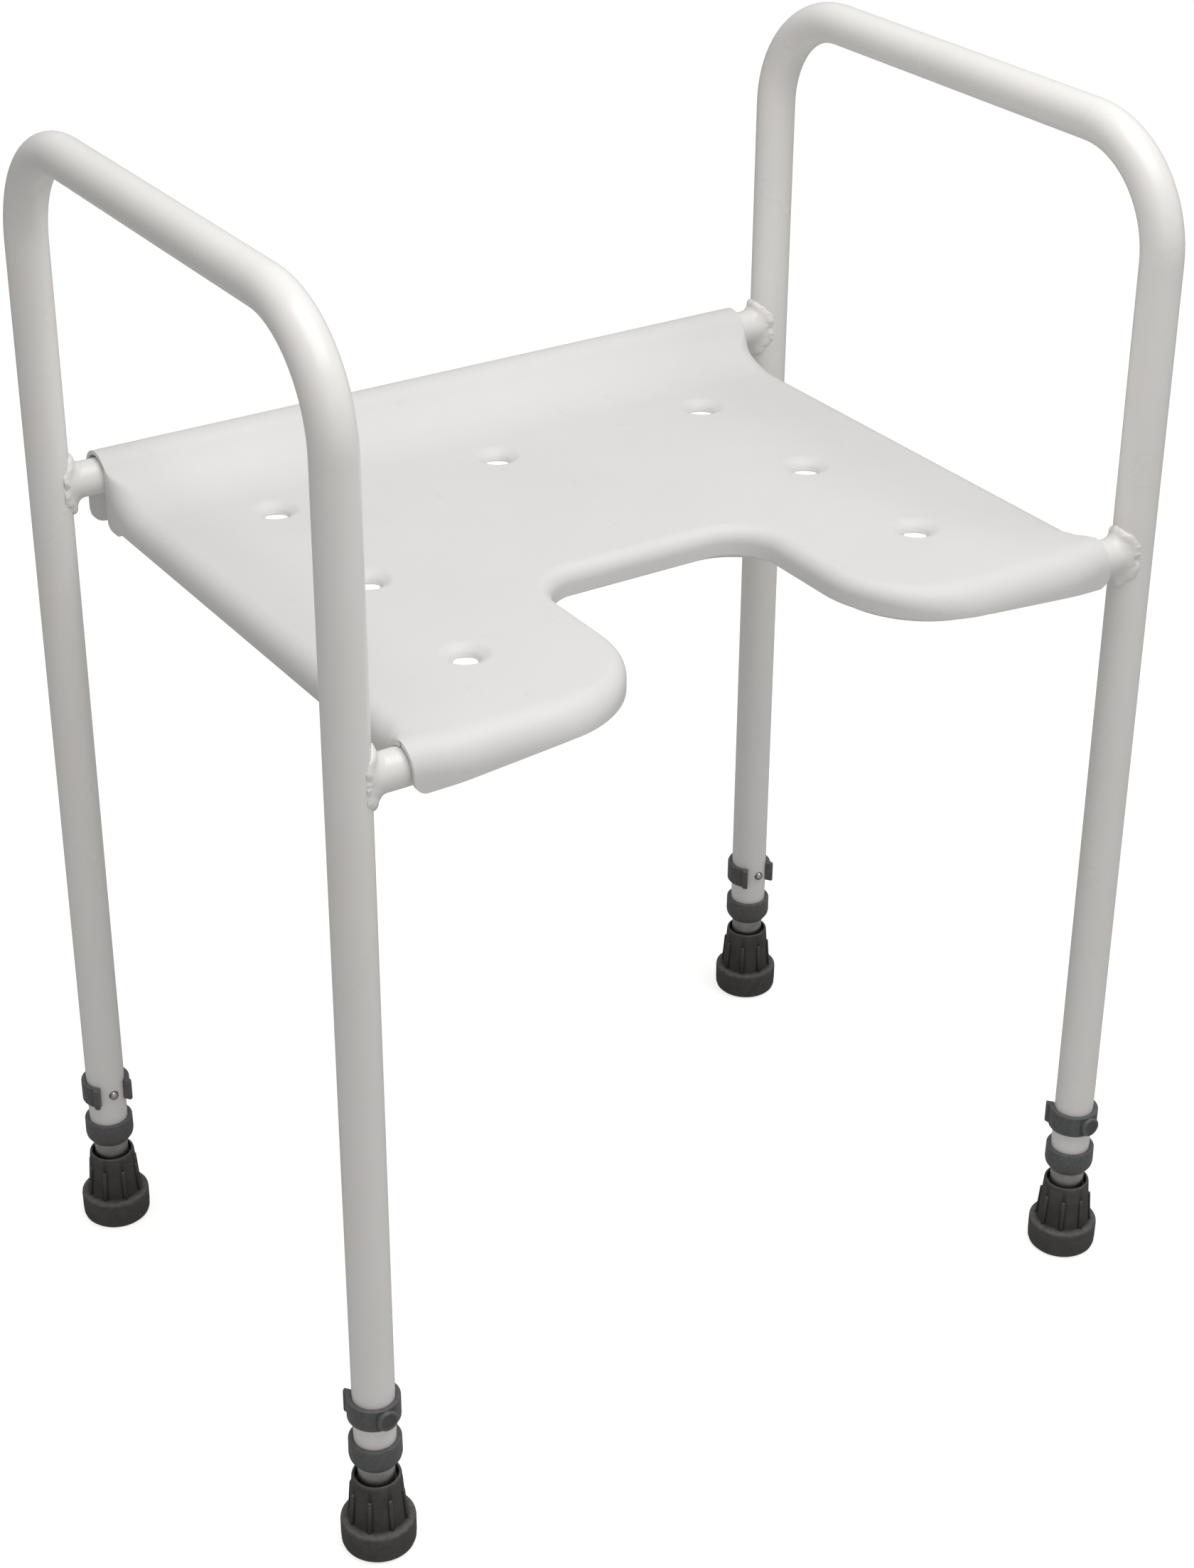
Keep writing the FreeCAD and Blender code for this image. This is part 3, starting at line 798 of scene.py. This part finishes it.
def front_section(spot, way, half, lobe):
    """Points of the skirt and the rounding at one station, from the lower lip to the flat."""
    out = abs(spot.x)
    on_front = spot.y < lobe.y - LOBE_R + 1
    at_end = ease((out - END_FROM) / (half - END_FROM))
    if on_front and out >= lobe.x:
        r = FRONT_EDGE_R + (ROLL_R - FRONT_EDGE_R) * at_end
        lip = FRONT_LIP_Z - DROOP * min(max((out - DROOP_FROM) / DROOP_RUN, 0.0), 1.0)
        lip += edge_drop(LIP_CORNER_R, half - out)
    else:
        blend = ease(math.hypot(out - lobe.x, spot.y - lobe.y + LOBE_R) / CUT_BLEND)
        r = FRONT_EDGE_R + (CUT_EDGE_R - FRONT_EDGE_R) * blend
        lip = FRONT_LIP_Z + (RIM_Z - FRONT_LIP_Z) * blend
    top = PLATE_Z + END_SWELL * at_end
    sunk = END_SINK * at_end
    points = [(sunk, lip + (top - r - lip) * t) for t in (0.0, 0.5)]
    points += [(sunk + r * (1 - math.cos(a)), top - r * (1 - math.sin(a))) for a in ARC]
    reach = r + CUT_FLAT if r < ROLL_R else FRONT_REACH
    for t, drop in zip(DROP_SHARES, END_DROPS):
        z = PLATE_Z + END_SWELL * at_end * (1 - ease(t * 1.15))
        if on_front:
            z -= edge_drop(drop, half - out)
        points.append((sunk + r + (reach - sunk - r) * t, z))
    return [Vector((spot.x - way.x * d, spot.y - way.y * d, z)) for d, z in points]


def rear_profile():
    """Y-Z points and upward ways from the flat, up the hollow, over the roll, down the lip."""
    low, high = box_mm("rear_cross_tube")
    y0, z0 = (low.y + high.y) / 2, (low.z + high.z) / 2
    rise = z0 - PLATE_Z
    foot_y = y0 - math.sqrt((SWEEP_R + ROLL_R) ** 2 - (SWEEP_R - rise) ** 2)
    centre_z = PLATE_Z + SWEEP_R
    lean = math.atan2(centre_z - z0, foot_y - y0)
    points = []
    for i in range(SWEEP_STEPS + 1):
        a = (lean - math.pi / 2) * i / SWEEP_STEPS
        points.append((foot_y + SWEEP_R * math.sin(a), centre_z - SWEEP_R * math.cos(a),
                       -math.sin(a), math.cos(a)))
    for i in range(1, ROLL_STEPS + 1):
        a = lean * (1 - i / ROLL_STEPS)
        points.append((y0 + ROLL_R * math.cos(a), z0 + ROLL_R * math.sin(a),
                       math.cos(a), math.sin(a)))
    return points


def loft(bm, rows):
    """Draw the first row of points as a chain, then extrude it from row to row."""
    verts = [bm.verts.new(p) for p in rows[0]]
    edges = [bm.edges.new(pair) for pair in zip(verts, verts[1:])]
    for row in rows[1:]:
        made = bmesh.ops.extrude_edge_only(bm, edges=edges)["geom"]
        fresh = {g for g in made if isinstance(g, bmesh.types.BMVert)}
        verts = [next(e.other_vert(v) for e in v.link_edges if e.other_vert(v) in fresh)
                 for v in verts]
        for v, point in zip(verts, row):
            v.co = point
        edges = edges_among(verts)


def side_edge_radius(y):
    """The rounding of the side edges fades out close to both tubes."""
    grown = ease((y - FADE_FRONT_Y) / FADE_FRONT_RUN)
    from_front = LAST_DROP + (SIDE_EDGE_R - LAST_DROP) * grown
    return from_front * ease((FADE_BACK_Y - y) / FADE_BACK_RUN)


def hanging(point, z):
    """Three points straight down from a point to a height."""
    foot_point = Vector((point.x, point.y, z))
    return [point, point.lerp(foot_point, 0.5), foot_point]


def seat_side(bm, side, half, stations, first_y, slot_front):
    """The rounding and the wall along one side. Returns the wall's points at the front."""
    rows, walls = [], []
    for y, z, uy, uz in stations:
        r = 0.0 if y > slot_front else side_edge_radius(y)
        row = [Vector((side * (half - r * (1 - math.cos(a))),
                       y - uy * r * (1 - math.sin(a)), z - uz * r * (1 - math.sin(a))))
               for a in ARC]
        for column in END_COLUMNS[1:]:
            d = r + (END_WIDTH - r) * column / END_WIDTH
            row.append(Vector((side * (half - d), y, z)))
        rows.append(row)
        at = row[0].y
        step = RIM_STEP * ease((at - RIM_BACK_Y) / RIM_STEP_RUN)
        step += RIM_STEP * ease((RIM_FRONT_Y - at) / RIM_STEP_RUN)
        corner = max(min(slot_front + 1 - at, at - first_y + 1), 0.0)
        walls.append(hanging(row[0], RIM_Z - step + edge_drop(WALL_CORNER_R, corner)))
    loft(bm, rows)
    loft(bm, walls)
    return walls[0]


def front_tube_wall(bm, section, side_wall):
    """The side wall carried on over the front tube, down to the slot for it."""
    tube = box_mm("front_cross_tube")[0]
    tube_y, tube_z = tube.y + CROSS_R, tube.z + CROSS_R
    rows = []
    for point in section[-4:-1]:
        off = point.y - tube_y
        slot = tube_z + math.sqrt((CROSS_R + 0.5) ** 2 - off ** 2)
        rows.append(hanging(point, min(slot, point.z - 0.3)))
    rows.append(side_wall)
    loft(bm, rows)


def seat_rear(bm, half, stations, shoulder):
    """The hollow, the roll and the rear lip, straight across between the two sides."""
    columns = [-half + d for d in END_COLUMNS] + [half - d for d in reversed(END_COLUMNS)]
    rows = [[Vector((x, y, z)) for x in columns] for y, z, uy, uz in stations]
    lip = []
    for x in columns:
        droop = ease((abs(x) - REAR_DROOP_FROM) / REAR_DROOP_RUN)
        z = REAR_LIP_Z + (REAR_LIP_END_Z - REAR_LIP_Z) * droop
        lip.append(z + edge_drop(REAR_CORNER_R, half - abs(x)))
    back_y, level = stations[-1][0], stations[-1][1]
    for t in (0.33, 0.66, 1.0):
        rows.append([Vector((x, back_y, level + (z - level) * t)) for x, z in zip(columns, lip)])
    ends = len(END_COLUMNS) - 1
    loft(bm, [row[ends:len(columns) - ends] for row in rows[:shoulder + 1]])
    loft(bm, rows[shoulder:])


def drains():
    """Middles of the seven drains."""
    spots = [(0.0, DRAIN_ROWS[0])]
    for y in DRAIN_ROWS:
        spots += [(-DRAIN_X, y), (DRAIN_X, y)]
    return spots


def is_flat_border(edge, back, half):
    """Is this open edge part of the border of the seat's flat middle?"""
    near = 0.02
    for v in edge.verts:
        if abs(v.co.z - PLATE_Z) > near or v.co.y > back + near:
            return False
        if abs(v.co.x) > half - END_WIDTH + near:
            return False
    return True


def seat_flat(bm, half, flat_back):
    """The flat middle, with a dish and an open hole for each drain."""
    border = [e for e in bm.edges if e.is_boundary and is_flat_border(e, flat_back, half)]
    first = DISH_R + DISH_BORDER
    rings = [ring(bm, first, Vector((x, y, PLATE_Z)), Z, 48) for x, y in drains()]
    bmesh.ops.triangle_fill(bm, use_beauty=True, use_dissolve=False,
                            edges=border + [e for edges in rings for e in edges])
    for (x, y), edges in zip(drains(), rings):
        about = Matrix.Translation((-x, -y, -PLATE_Z))
        radius = first
        for r, z in DISH:
            made = bmesh.ops.extrude_edge_only(bm, edges=edges)["geom"]
            verts = [g for g in made if isinstance(g, bmesh.types.BMVert)]
            bmesh.ops.scale(bm, vec=(r / radius, r / radius, 1), space=about, verts=verts)
            for v in verts:
                v.co.z = PLATE_Z + z
            edges = edges_among(verts)
            radius = r


def with_wall(bm, thickness):
    """The sheet given its wall, on the inside."""
    obj = loose_object("work", bm)
    thick = obj.modifiers.new("wall", "SOLIDIFY")
    thick.thickness = thickness
    thick.offset = -1.0
    graph = bpy.context.evaluated_depsgraph_get()
    out = bmesh.new()
    out.from_mesh(obj.evaluated_get(graph).to_mesh())
    bpy.data.objects.remove(obj)
    return out


def seat():
    """The whole moulding, drawn as one sheet that is its outer surface."""
    half = box_mm("seat")[1].x
    bm = bmesh.new()
    front = front_outline()
    loft(bm, front)
    profile = rear_profile()
    first_y = front[0][-1].y
    flat_back = DRAIN_ROWS[0] + DISH_R + DISH_MARGIN
    slot_front = profile[-1][0] - ROLL_R - SLOT_R + SLOT_MARGIN
    # stations along a side: the flat part, then the hollow up to the roll
    flat = [first_y + FRONT_PITCH * i for i in range(FRONT_STATIONS)]
    run = flat_back - flat[-1]
    flat += [flat[-1] + run * i / FLAT_STATIONS for i in range(1, FLAT_STATIONS + 1)]
    stations = [(y, PLATE_Z, 0.0, 1.0) for y in flat] + profile
    shoulder = next(i for i, s in enumerate(stations) if s[0] > slot_front)
    for side, section in ((-1, front[0]), (1, front[-1])):
        wall = seat_side(bm, side, half, stations[:shoulder + 1], first_y, slot_front)
        front_tube_wall(bm, section, wall)
    last = len(flat) - 1
    seat_rear(bm, half, stations[last:], shoulder - last)
    bmesh.ops.remove_doubles(bm, verts=bm.verts, dist=WELD_ON)
    seat_flat(bm, half, flat_back)
    bmesh.ops.remove_doubles(bm, verts=bm.verts, dist=WELD_ON)
    bmesh.ops.recalc_face_normals(bm, faces=bm.faces)
    top = max(bm.faces, key=lambda f: abs(f.normal.z) * f.calc_area())
    if top.normal.z < 0:
        bmesh.ops.reverse_faces(bm, faces=bm.faces)
    piece("moulded_seat", with_wall(bm, WALL), "frame", ["seat"], SEAT_WHITE,
          sharp=35)


# ---- feet ----------------------------------------------------------------------

CLIP_SKIN = 0.1            # room between the clip and the leg
CLIP_R, TAB_R = 16.0, 18.5
CLIP_STEPS = 88
CLIP_OPEN_HALF = math.radians(38)
TAB_DEGREES, FLARE_DEGREES = 9, 9
BOSS_R = 6.6
# the boss's face: radius, then how far under its highest rim
BOSS_FACE = ((6.3, 0.2), (5.9, 0), (5.2, 0), (4.7, 0.15), (4.2, 0.55), (0, 0.7))

SNUG = 0.02                # room between a sleeve and its tube
FLANGE_R, FLANGE_Z = 22.6, 20.5
BODY_LOW_R, BODY_TOP_R, MOUTH_R = 17.1, 14.95, 13.05
SOLE_Z = 8.0
RIB_COUNT = 8
RIB_SIZE = (4.0, 2.5, 23.0)
RIB_R, RIB_LIFT = 15.7, 10.5


def inner_tube(corner):
    """Leg extension with its row of cross holes."""
    spot = leg_spot(corner)
    low, high = box_mm("leg_extension_" + corner)
    pin_z = pin_height(corner)
    at_hole = [Z * HOLE_MARGIN] * 2
    between = [Z * (HOLE_PITCH - 2 * HOLE_MARGIN)]
    moves = [Z * (pin_z - HOLE_MARGIN - low.z)] + at_hole
    moves += (between + at_hole) * (HOLE_COUNT - 1)
    moves.append(Z * (high.z - pin_z - HOLE_MARGIN - HOLE_PITCH * (HOLE_COUNT - 1)))
    tube = pipe((EXT_R, EXT_R - EXT_WALL), Vector((spot.x, spot.y, low.z)), Z, moves)
    drills = [drill(spot, pin_z + i * HOLE_PITCH, 32) for i in range(HOLE_COUNT)]
    tube = combine(tube, [together(drills)])
    piece("inner_tube_" + corner, tube, "foot_" + corner, ["leg_extension_" + corner],
          ALUMINIUM)


def collar(corner):
    """Plastic sleeve over the leg's lower end, tapered at its foot."""
    low, high = box_mm("leg_collar_" + corner)
    outer = (high.x - low.x) / 2
    inside = LEG_R - LEG_WALL
    leg_end = box_mm("side_frame_left")[0].z - 0.05
    outline = [
        (inside, low.z), (outer - 3.4, low.z), (outer - 0.5, low.z + 4.2), (outer, low.z + 7.0),
        (outer - 0.15, high.z), (LEG_R + SNUG, high.z), (LEG_R + SNUG, leg_end),
        (inside, leg_end),
    ]
    bm = soften(lathe(outline, closed=True), width=0.7, over_degrees=20)
    move(bm, Matrix.Translation(leg_spot(corner)))
    piece("leg_end_collar_" + corner, bm, "frame", ["leg_collar_" + corner],
          CLIP_GREY)


def clip_ring(height):
    """Open ring round the Z axis, flared at both ends. The gap ends at the X axis."""
    ring_angle = math.tau - 2 * CLIP_OPEN_HALF
    bm = bmesh.new()
    a, b = bm.verts.new((LEG_R + CLIP_SKIN, 0, 0)), bm.verts.new((CLIP_R, 0, 0))
    edge = bm.edges.new((a, b))
    bmesh.ops.spin(bm, geom=[a, b, edge], cent=(0, 0, 0), axis=Z, steps=CLIP_STEPS,
                   angle=ring_angle, use_duplicate=False)
    for v in bm.verts:
        if v.co.xy.length > CLIP_R - 0.1:
            around = math.atan2(v.co.y, v.co.x) % math.tau
            from_end = min(around, ring_angle - around)
            flare = 1 - ease((math.degrees(from_end) - TAB_DEGREES) / FLARE_DEGREES)
            v.co.xy *= (CLIP_R + (TAB_R - CLIP_R) * flare) / CLIP_R
    made = bmesh.ops.extrude_face_region(bm, geom=bm.faces[:])["geom"]
    lifted = [g for g in made if isinstance(g, bmesh.types.BMVert)]
    bmesh.ops.translate(bm, vec=(0, 0, height), verts=lifted)
    bmesh.ops.recalc_face_normals(bm, faces=bm.faces)
    return soften(bm, width=0.8, over_degrees=40, segments=4)


def clip(corner):
    """Open spring ring with flared ends and a round boss over the pin's head."""
    end = CORNERS[corner][1]
    spot = leg_spot(corner)
    low, high = box_mm("height_clip_" + corner)
    bm = clip_ring(high.z - low.z)
    # the gap's middle faces away from the boss
    turn = math.radians(-90 * end) + CLIP_OPEN_HALF
    move(bm, Matrix.Translation((0, 0, low.z)) @ Matrix.Rotation(turn, 4, "Z"))
    reach = max(high.y - spot.y, spot.y - low.y)
    outline = [(0, 11.0), (BOSS_R, 11.0), (BOSS_R, reach - 0.7)]
    boss = lathe(outline + [(r, reach - under) for r, under in BOSS_FACE], 48)
    stand = Matrix.Rotation(math.radians(-90 * end), 4, "X")
    move(boss, Matrix.Translation((0, 0, pin_height(corner))) @ stand)
    core = rod(LEG_R + CLIP_SKIN, Z * (low.z - 5), Z * (high.z + 5), ROUND)
    boss = combine(boss, [core])
    bm = combine(bm, [boss], "UNION")
    move(bm, Matrix.Translation(spot))
    piece("spring_clip_" + corner, bm, "clip_" + corner, ["height_clip_" + corner],
          CLIP_GREY)


def pin(corner):
    """Steel cross pin with a domed tip."""
    end = CORNERS[corner][1]
    spot = leg_spot(corner)
    low, high = box_mm("clip_pin_" + corner)
    length = high.y - low.y
    dome = [math.radians(90 * i / 8) for i in range(1, 9)]
    outline = [(0, 0)] + [(PIN_R * math.sin(a), PIN_R * (1 - math.cos(a))) for a in dome]
    outline += [(PIN_R, length - 0.3), (PIN_R - 0.3, length), (0, length)]
    bm = lathe(outline, 40)
    tip = low.y if end > 0 else high.y
    stand = Matrix.Rotation(math.radians(-90 * end), 4, "X")
    move(bm, Matrix.Translation((spot.x, tip, (low.z + high.z) / 2)) @ stand)
    piece("steel_pin_" + corner, bm, "clip_" + corner, ["clip_pin_" + corner],
          STEEL)


def foot_outline(top):
    """A foot's section: over the sole's rings, up the flange and the body, into the mouth."""
    bore = EXT_R + SNUG
    return [
        (0, 1.2), (5, 1.2), (5, 0), (10, 0), (10, 1.2), (13, 1.2), (13, 0), (18.4, 0),
        (20.3, 0.5), (21.6, 1.8), (22.3, 3.8), (22.55, 8.0), (FLANGE_R, FLANGE_Z - 2.6),
        (22.4, FLANGE_Z - 1.2), (21.6, FLANGE_Z - 0.3), (20.6, FLANGE_Z),
        (18.4, FLANGE_Z + 0.2), (17.5, FLANGE_Z + 0.9), (BODY_LOW_R, FLANGE_Z + 2.3),
        (BODY_TOP_R, top - 1.6), (14.7, top - 0.7), (14.2, top - 0.1), (13.7, top),
        (13.2, top - 0.3), (MOUTH_R, top - 1.0), (12.9, top - 5.5), (bore, top - 5.5),
        (bore, SOLE_Z), (0, SOLE_Z),
    ]


def foot(corner):
    """Ribbed rubber ferrule on a wide flange, open at the top for the tube."""
    top = box_mm("ferrule_" + corner)[1].z
    body = lathe(foot_outline(top))
    lean = math.atan2(BODY_LOW_R - BODY_TOP_R, top - 1.6 - FLANGE_Z - 2.3)
    ribs = []
    for i in range(RIB_COUNT):
        rib = bmesh.new()
        bmesh.ops.create_cube(rib, size=1.0)
        bmesh.ops.scale(rib, vec=RIB_SIZE, verts=rib.verts)
        soften(rib, width=0.5)
        move(rib, Matrix.Rotation(math.tau * i / RIB_COUNT, 4, "Z")
             @ Matrix.Translation((RIB_R, 0, FLANGE_Z + RIB_LIFT))
             @ Matrix.Rotation(-lean, 4, "Y"))
        ribs.append(rib)
    body = combine(body, [together(ribs)], "UNION")
    move(body, Matrix.Translation(leg_spot(corner)))
    piece("rubber_foot_" + corner, body, "foot_" + corner, ["ferrule_" + corner],
          RUBBER)


def washer(corner):
    """Steel disc in the foot, under the end of the inner tube."""
    low, high = box_mm("ferrule_washer_" + corner)
    outer = (high.x - low.x) / 2
    disc = lathe([(0, low.z), (outer, low.z), (outer, high.z), (0, high.z)])
    bm = soften(disc, width=0.3)
    move(bm, Matrix.Translation(leg_spot(corner)))
    piece("foot_washer_" + corner, bm, "foot_" + corner, ["ferrule_washer_" + corner],
          STEEL)


side_frame(-1)
side_frame(1)
rear_tube()
front_tube()
seat()
for corner_name in CORNERS:
    weld(corner_name)
    inner_tube(corner_name)
    collar(corner_name)
    clip(corner_name)
    pin(corner_name)
    foot(corner_name)
    washer(corner_name)


# ---- floor, light and camera ----------------------------------------------------

# the glow and the bright sky are for the eye alone, and light nothing
FLOOR_HALF, FLOOR_GLOW = 8.0, 0.75
SKY_LIGHT, SKY_SEEN = 0.41, 1.0
# name, place, aim, size, watts
LIGHTS = (
    ("overhead_softbox", (0.1, -0.5, 2.1), (0.0, 0.0, 0.5), (1.6, 1.4), 20.0),
    ("front_softbox", (-0.9, -2.6, 1.5), (0.0, 0.0, 0.5), (1.6, 1.6), 3.0),
)
EYE_MM = Vector((-855.32, -1335.28, 1244.85))
EYE_AZIMUTH, EYE_PITCH, EYE_ROLL = -32.916, 28.937, 0.375
LENS, SENSOR_HEIGHT = 66.38, 36.0
SHIFT_X, SHIFT_Y = -0.0021, -0.0178


def floor():
    """Pale paper floor that the eye sees a little brighter than it is lit."""
    bm = bmesh.new()
    bmesh.ops.create_grid(bm, x_segments=1, y_segments=1, size=FLOOR_HALF)
    sheet = loose_object("studio_floor", bm)
    paper = Finish("pale_floor", specular=0.1)
    drift = paper.effect(DRIFT, Colour=(0.60, 0.60, 0.597, 1),
                         Second_Colour=(0.585, 0.585, 0.58, 1), Size=0.8)
    paper.colour(drift.outputs["Colour"])
    paper.roughness(drift.outputs["Mask"], low=0.8, high=0.9)
    paper.shader.inputs["Emission Color"].default_value = (1.0, 1.0, 0.998, 1)
    seen = paper.tree.nodes.new("ShaderNodeLightPath").outputs["Is Camera Ray"]
    glow = maths(paper.tree, seen, FLOOR_GLOW, "MULTIPLY")
    paper.tree.links.new(glow, paper.shader.inputs["Emission Strength"])
    sheet.data.materials.append(paper.material)


def sky():
    """Soft light from all round, seen as plain white."""
    world = bpy.data.worlds.new("studio_world")
    bpy.context.scene.world = world
    world.use_nodes = True
    tree = world.node_tree
    shade = next(n for n in tree.nodes if n.type == "BACKGROUND")
    shade.inputs["Color"].default_value = (1.0, 0.985, 0.97, 1)
    seen = tree.nodes.new("ShaderNodeLightPath").outputs["Is Camera Ray"]
    level = tree.nodes.new("ShaderNodeMapRange")
    level.inputs["To Min"].default_value = SKY_LIGHT
    level.inputs["To Max"].default_value = SKY_SEEN
    tree.links.new(seen, level.inputs["Value"])
    tree.links.new(level.outputs["Result"], shade.inputs["Strength"])


def lamps():
    """The two softboxes."""
    for name, place, aim, size, watts in LIGHTS:
        data = bpy.data.lights.new(name, "AREA")
        data.shape = "RECTANGLE"
        data.size, data.size_y = size
        data.energy = watts
        lamp = bpy.data.objects.new(name, data)
        lamp.location = place
        lamp.rotation_euler = (Vector(aim) - Vector(place)).to_track_quat("-Z", "Y").to_euler()
        bpy.context.scene.collection.objects.link(lamp)


def camera():
    """The eye, in front of the left corner and above the arms."""
    data = bpy.data.cameras.new("camera")
    data.sensor_fit = "VERTICAL"
    data.sensor_height = SENSOR_HEIGHT
    data.lens = LENS
    data.shift_x = SHIFT_X
    data.shift_y = SHIFT_Y
    data.clip_end = 50.0
    eye = bpy.data.objects.new("camera", data)
    azimuth, pitch = math.radians(EYE_AZIMUTH), math.radians(EYE_PITCH)
    roll = math.radians(EYE_ROLL)
    ahead = Vector((-math.sin(azimuth) * math.cos(pitch), math.cos(azimuth) * math.cos(pitch),
                    -math.sin(pitch)))
    right = Vector((math.cos(azimuth), math.sin(azimuth), 0))
    up = right.cross(ahead)
    right, up = (right * math.cos(roll) + up * math.sin(roll),
                 up * math.cos(roll) - right * math.sin(roll))
    turn = Matrix((right, up, -ahead)).transposed().to_4x4()
    eye.matrix_world = Matrix.Translation(EYE_MM * MM) @ turn
    bpy.context.scene.collection.objects.link(eye)
    bpy.context.scene.camera = eye


floor()
sky()
lamps()
camera()
bpy.context.scene.view_settings.view_transform = "Standard"
